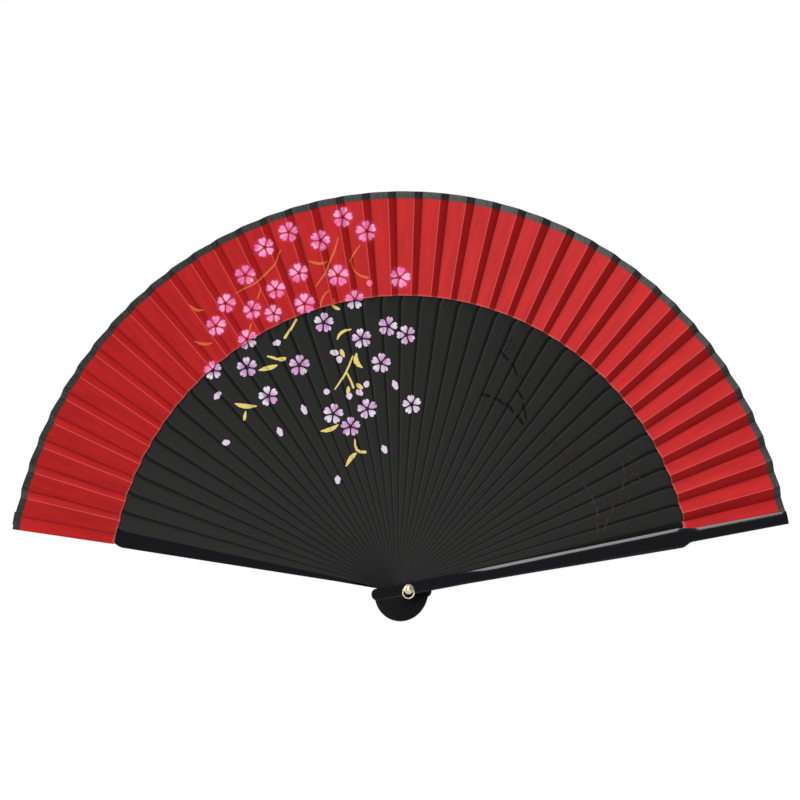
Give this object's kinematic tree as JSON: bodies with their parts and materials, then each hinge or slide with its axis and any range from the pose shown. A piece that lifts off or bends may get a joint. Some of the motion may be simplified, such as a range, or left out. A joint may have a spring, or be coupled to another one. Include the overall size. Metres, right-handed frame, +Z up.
{
  "type": "folding hand fan",
  "caption": "Folding hand fan, open: thin tapered ribs between stout guards turn on a shared rivet and carry a pleated silk leaf with a satin rim; a small ring hangs on the rivet.",
  "frame": {"origin": "on the rivet's axis, at the middle of the stack of sticks", "axes": "+Z up the open fan, +Y out of its back, along the rivet; the painted face looks along -Y and the front guard lies towards +X"},
  "size_m": [0.3888, 0.0337, 0.2135],
  "materials": {
    "rib_paint": "bamboo painted matt black, faint grain",
    "lacquer": "high gloss black lacquer",
    "silk": "thin woven silk, dyed and painted, pleated",
    "ribbon": "folded satin ribbon",
    "rivet_brass": "pale polished brass",
    "ring_wire": "plated wire, softly worn"
  },
  "bodies": {
    "base": {"rear_guard": "lacquer", "rivet_pin": "rivet_brass", "rivet_cap": "rivet_brass", "front_washer": "rivet_brass", "rear_washer": "rivet_brass", "silk_leaf": "silk", "edge_binding": "ribbon"},
    "rib_01": {"rib_01": "rib_paint"},
    "rib_02": {"rib_02": "rib_paint"},
    "rib_03": {"rib_03": "rib_paint"},
    "rib_04": {"rib_04": "rib_paint"},
    "rib_05": {"rib_05": "rib_paint"},
    "rib_06": {"rib_06": "rib_paint"},
    "rib_07": {"rib_07": "rib_paint"},
    "rib_08": {"rib_08": "rib_paint"},
    "rib_09": {"rib_09": "rib_paint"},
    "rib_10": {"rib_10": "rib_paint"},
    "rib_11": {"rib_11": "rib_paint"},
    "rib_12": {"rib_12": "rib_paint"},
    "rib_13": {"rib_13": "rib_paint"},
    "rib_14": {"rib_14": "rib_paint"},
    "rib_15": {"rib_15": "rib_paint"},
    "rib_16": {"rib_16": "rib_paint"},
    "rib_17": {"rib_17": "rib_paint"},
    "rib_18": {"rib_18": "rib_paint"},
    "rib_19": {"rib_19": "rib_paint"},
    "rib_20": {"rib_20": "rib_paint"},
    "rib_21": {"rib_21": "rib_paint"},
    "rib_22": {"rib_22": "rib_paint"},
    "rib_23": {"rib_23": "rib_paint"},
    "rib_24": {"rib_24": "rib_paint"},
    "rib_25": {"rib_25": "rib_paint"},
    "rib_26": {"rib_26": "rib_paint"},
    "rib_27": {"rib_27": "rib_paint"},
    "rib_28": {"rib_28": "rib_paint"},
    "rib_29": {"rib_29": "rib_paint"},
    "rib_30": {"rib_30": "rib_paint"},
    "rib_31": {"rib_31": "rib_paint"},
    "rib_32": {"rib_32": "rib_paint"},
    "rib_33": {"rib_33": "rib_paint"},
    "rib_34": {"rib_34": "rib_paint"},
    "rib_35": {"rib_35": "rib_paint"},
    "rib_36": {"rib_36": "rib_paint"},
    "rib_37": {"rib_37": "rib_paint"},
    "rib_38": {"rib_38": "rib_paint"},
    "rib_39": {"rib_39": "rib_paint"},
    "rib_40": {"rib_40": "rib_paint"},
    "front_guard": {"front_guard": "lacquer"},
    "tassel_ring": {"tassel_ring": "ring_wire"}
  },
  "joints": [
    {"name": "front_guard_swing", "type": "hinge", "parent": "base", "child": "front_guard", "pos_m": [0, 0, 0], "axis": [0, -1, 0], "range_deg": [0, 160], "deforming": ["silk_leaf", "edge_binding"]},
    {"name": "rib_01_swing", "type": "hinge", "parent": "base", "child": "rib_01", "pos_m": [0, 0, 0], "axis": [0, -1, 0], "range_deg": [0, 3.91]},
    {"name": "rib_02_swing", "type": "hinge", "parent": "base", "child": "rib_02", "pos_m": [0, 0, 0], "axis": [0, -1, 0], "range_deg": [0, 7.81]},
    {"name": "rib_03_swing", "type": "hinge", "parent": "base", "child": "rib_03", "pos_m": [0, 0, 0], "axis": [0, -1, 0], "range_deg": [0, 11.71]},
    {"name": "rib_04_swing", "type": "hinge", "parent": "base", "child": "rib_04", "pos_m": [0, 0, 0], "axis": [0, -1, 0], "range_deg": [0, 15.61]},
    {"name": "rib_05_swing", "type": "hinge", "parent": "base", "child": "rib_05", "pos_m": [0, 0, 0], "axis": [0, -1, 0], "range_deg": [0, 19.52]},
    {"name": "rib_06_swing", "type": "hinge", "parent": "base", "child": "rib_06", "pos_m": [0, 0, 0], "axis": [0, -1, 0], "range_deg": [0, 23.42]},
    {"name": "rib_07_swing", "type": "hinge", "parent": "base", "child": "rib_07", "pos_m": [0, 0, 0], "axis": [0, -1, 0], "range_deg": [0, 27.32]},
    {"name": "rib_08_swing", "type": "hinge", "parent": "base", "child": "rib_08", "pos_m": [0, 0, 0], "axis": [0, -1, 0], "range_deg": [0, 31.22]},
    {"name": "rib_09_swing", "type": "hinge", "parent": "base", "child": "rib_09", "pos_m": [0, 0, 0], "axis": [0, -1, 0], "range_deg": [0, 35.13]},
    {"name": "rib_10_swing", "type": "hinge", "parent": "base", "child": "rib_10", "pos_m": [0, 0, 0], "axis": [0, -1, 0], "range_deg": [0, 39.03]},
    {"name": "rib_11_swing", "type": "hinge", "parent": "base", "child": "rib_11", "pos_m": [0, 0, 0], "axis": [0, -1, 0], "range_deg": [0, 42.93]},
    {"name": "rib_12_swing", "type": "hinge", "parent": "base", "child": "rib_12", "pos_m": [0, 0, 0], "axis": [0, -1, 0], "range_deg": [0, 46.83]},
    {"name": "rib_13_swing", "type": "hinge", "parent": "base", "child": "rib_13", "pos_m": [0, 0, 0], "axis": [0, -1, 0], "range_deg": [0, 50.74]},
    {"name": "rib_14_swing", "type": "hinge", "parent": "base", "child": "rib_14", "pos_m": [0, 0, 0], "axis": [0, -1, 0], "range_deg": [0, 54.64]},
    {"name": "rib_15_swing", "type": "hinge", "parent": "base", "child": "rib_15", "pos_m": [0, 0, 0], "axis": [0, -1, 0], "range_deg": [0, 58.54]},
    {"name": "rib_16_swing", "type": "hinge", "parent": "base", "child": "rib_16", "pos_m": [0, 0, 0], "axis": [0, -1, 0], "range_deg": [0, 62.44]},
    {"name": "rib_17_swing", "type": "hinge", "parent": "base", "child": "rib_17", "pos_m": [0, 0, 0], "axis": [0, -1, 0], "range_deg": [0, 66.35]},
    {"name": "rib_18_swing", "type": "hinge", "parent": "base", "child": "rib_18", "pos_m": [0, 0, 0], "axis": [0, -1, 0], "range_deg": [0, 70.25]},
    {"name": "rib_19_swing", "type": "hinge", "parent": "base", "child": "rib_19", "pos_m": [0, 0, 0], "axis": [0, -1, 0], "range_deg": [0, 74.15]},
    {"name": "rib_20_swing", "type": "hinge", "parent": "base", "child": "rib_20", "pos_m": [0, 0, 0], "axis": [0, -1, 0], "range_deg": [0, 78.05]},
    {"name": "rib_21_swing", "type": "hinge", "parent": "base", "child": "rib_21", "pos_m": [0, 0, 0], "axis": [0, -1, 0], "range_deg": [0, 81.96]},
    {"name": "rib_22_swing", "type": "hinge", "parent": "base", "child": "rib_22", "pos_m": [0, 0, 0], "axis": [0, -1, 0], "range_deg": [0, 85.86]},
    {"name": "rib_23_swing", "type": "hinge", "parent": "base", "child": "rib_23", "pos_m": [0, 0, 0], "axis": [0, -1, 0], "range_deg": [0, 89.76]},
    {"name": "rib_24_swing", "type": "hinge", "parent": "base", "child": "rib_24", "pos_m": [0, 0, 0], "axis": [0, -1, 0], "range_deg": [0, 93.66]},
    {"name": "rib_25_swing", "type": "hinge", "parent": "base", "child": "rib_25", "pos_m": [0, 0, 0], "axis": [0, -1, 0], "range_deg": [0, 97.57]},
    {"name": "rib_26_swing", "type": "hinge", "parent": "base", "child": "rib_26", "pos_m": [0, 0, 0], "axis": [0, -1, 0], "range_deg": [0, 101.47]},
    {"name": "rib_27_swing", "type": "hinge", "parent": "base", "child": "rib_27", "pos_m": [0, 0, 0], "axis": [0, -1, 0], "range_deg": [0, 105.37]},
    {"name": "rib_28_swing", "type": "hinge", "parent": "base", "child": "rib_28", "pos_m": [0, 0, 0], "axis": [0, -1, 0], "range_deg": [0, 109.27]},
    {"name": "rib_29_swing", "type": "hinge", "parent": "base", "child": "rib_29", "pos_m": [0, 0, 0], "axis": [0, -1, 0], "range_deg": [0, 113.18]},
    {"name": "rib_30_swing", "type": "hinge", "parent": "base", "child": "rib_30", "pos_m": [0, 0, 0], "axis": [0, -1, 0], "range_deg": [0, 117.08]},
    {"name": "rib_31_swing", "type": "hinge", "parent": "base", "child": "rib_31", "pos_m": [0, 0, 0], "axis": [0, -1, 0], "range_deg": [0, 120.98]},
    {"name": "rib_32_swing", "type": "hinge", "parent": "base", "child": "rib_32", "pos_m": [0, 0, 0], "axis": [0, -1, 0], "range_deg": [0, 124.88]},
    {"name": "rib_33_swing", "type": "hinge", "parent": "base", "child": "rib_33", "pos_m": [0, 0, 0], "axis": [0, -1, 0], "range_deg": [0, 128.79]},
    {"name": "rib_34_swing", "type": "hinge", "parent": "base", "child": "rib_34", "pos_m": [0, 0, 0], "axis": [0, -1, 0], "range_deg": [0, 132.69]},
    {"name": "rib_35_swing", "type": "hinge", "parent": "base", "child": "rib_35", "pos_m": [0, 0, 0], "axis": [0, -1, 0], "range_deg": [0, 136.59]},
    {"name": "rib_36_swing", "type": "hinge", "parent": "base", "child": "rib_36", "pos_m": [0, 0, 0], "axis": [0, -1, 0], "range_deg": [0, 140.49]},
    {"name": "rib_37_swing", "type": "hinge", "parent": "base", "child": "rib_37", "pos_m": [0, 0, 0], "axis": [0, -1, 0], "range_deg": [0, 144.4]},
    {"name": "rib_38_swing", "type": "hinge", "parent": "base", "child": "rib_38", "pos_m": [0, 0, 0], "axis": [0, -1, 0], "range_deg": [0, 148.3]},
    {"name": "rib_39_swing", "type": "hinge", "parent": "base", "child": "rib_39", "pos_m": [0, 0, 0], "axis": [0, -1, 0], "range_deg": [0, 152.2]},
    {"name": "rib_40_swing", "type": "hinge", "parent": "base", "child": "rib_40", "pos_m": [0, 0, 0], "axis": [0, -1, 0], "range_deg": [0, 156.1]},
    {"name": "tassel_ring_swing", "type": "hinge", "parent": "base", "child": "tassel_ring", "pos_m": [0, 0, 0], "axis": [0, -1, 0], "continuous": true}
  ],
  "couplings": [
    {"joint": "rib_01_swing", "follows": "front_guard_swing", "ratio": 0.02439},
    {"joint": "rib_02_swing", "follows": "front_guard_swing", "ratio": 0.04878},
    {"joint": "rib_03_swing", "follows": "front_guard_swing", "ratio": 0.073171},
    {"joint": "rib_04_swing", "follows": "front_guard_swing", "ratio": 0.097561},
    {"joint": "rib_05_swing", "follows": "front_guard_swing", "ratio": 0.12195},
    {"joint": "rib_06_swing", "follows": "front_guard_swing", "ratio": 0.14634},
    {"joint": "rib_07_swing", "follows": "front_guard_swing", "ratio": 0.17073},
    {"joint": "rib_08_swing", "follows": "front_guard_swing", "ratio": 0.19512},
    {"joint": "rib_09_swing", "follows": "front_guard_swing", "ratio": 0.21951},
    {"joint": "rib_10_swing", "follows": "front_guard_swing", "ratio": 0.2439},
    {"joint": "rib_11_swing", "follows": "front_guard_swing", "ratio": 0.26829},
    {"joint": "rib_12_swing", "follows": "front_guard_swing", "ratio": 0.29268},
    {"joint": "rib_13_swing", "follows": "front_guard_swing", "ratio": 0.31707},
    {"joint": "rib_14_swing", "follows": "front_guard_swing", "ratio": 0.34146},
    {"joint": "rib_15_swing", "follows": "front_guard_swing", "ratio": 0.36585},
    {"joint": "rib_16_swing", "follows": "front_guard_swing", "ratio": 0.39024},
    {"joint": "rib_17_swing", "follows": "front_guard_swing", "ratio": 0.41463},
    {"joint": "rib_18_swing", "follows": "front_guard_swing", "ratio": 0.43902},
    {"joint": "rib_19_swing", "follows": "front_guard_swing", "ratio": 0.46342},
    {"joint": "rib_20_swing", "follows": "front_guard_swing", "ratio": 0.4878},
    {"joint": "rib_21_swing", "follows": "front_guard_swing", "ratio": 0.51219},
    {"joint": "rib_22_swing", "follows": "front_guard_swing", "ratio": 0.53658},
    {"joint": "rib_23_swing", "follows": "front_guard_swing", "ratio": 0.56098},
    {"joint": "rib_24_swing", "follows": "front_guard_swing", "ratio": 0.58537},
    {"joint": "rib_25_swing", "follows": "front_guard_swing", "ratio": 0.60976},
    {"joint": "rib_26_swing", "follows": "front_guard_swing", "ratio": 0.63415},
    {"joint": "rib_27_swing", "follows": "front_guard_swing", "ratio": 0.65854},
    {"joint": "rib_28_swing", "follows": "front_guard_swing", "ratio": 0.68293},
    {"joint": "rib_29_swing", "follows": "front_guard_swing", "ratio": 0.70732},
    {"joint": "rib_30_swing", "follows": "front_guard_swing", "ratio": 0.73171},
    {"joint": "rib_31_swing", "follows": "front_guard_swing", "ratio": 0.7561},
    {"joint": "rib_32_swing", "follows": "front_guard_swing", "ratio": 0.78049},
    {"joint": "rib_33_swing", "follows": "front_guard_swing", "ratio": 0.80488},
    {"joint": "rib_34_swing", "follows": "front_guard_swing", "ratio": 0.82927},
    {"joint": "rib_35_swing", "follows": "front_guard_swing", "ratio": 0.85366},
    {"joint": "rib_36_swing", "follows": "front_guard_swing", "ratio": 0.87805},
    {"joint": "rib_37_swing", "follows": "front_guard_swing", "ratio": 0.90244},
    {"joint": "rib_38_swing", "follows": "front_guard_swing", "ratio": 0.92683},
    {"joint": "rib_39_swing", "follows": "front_guard_swing", "ratio": 0.95122},
    {"joint": "rib_40_swing", "follows": "front_guard_swing", "ratio": 0.97561}
  ]
}
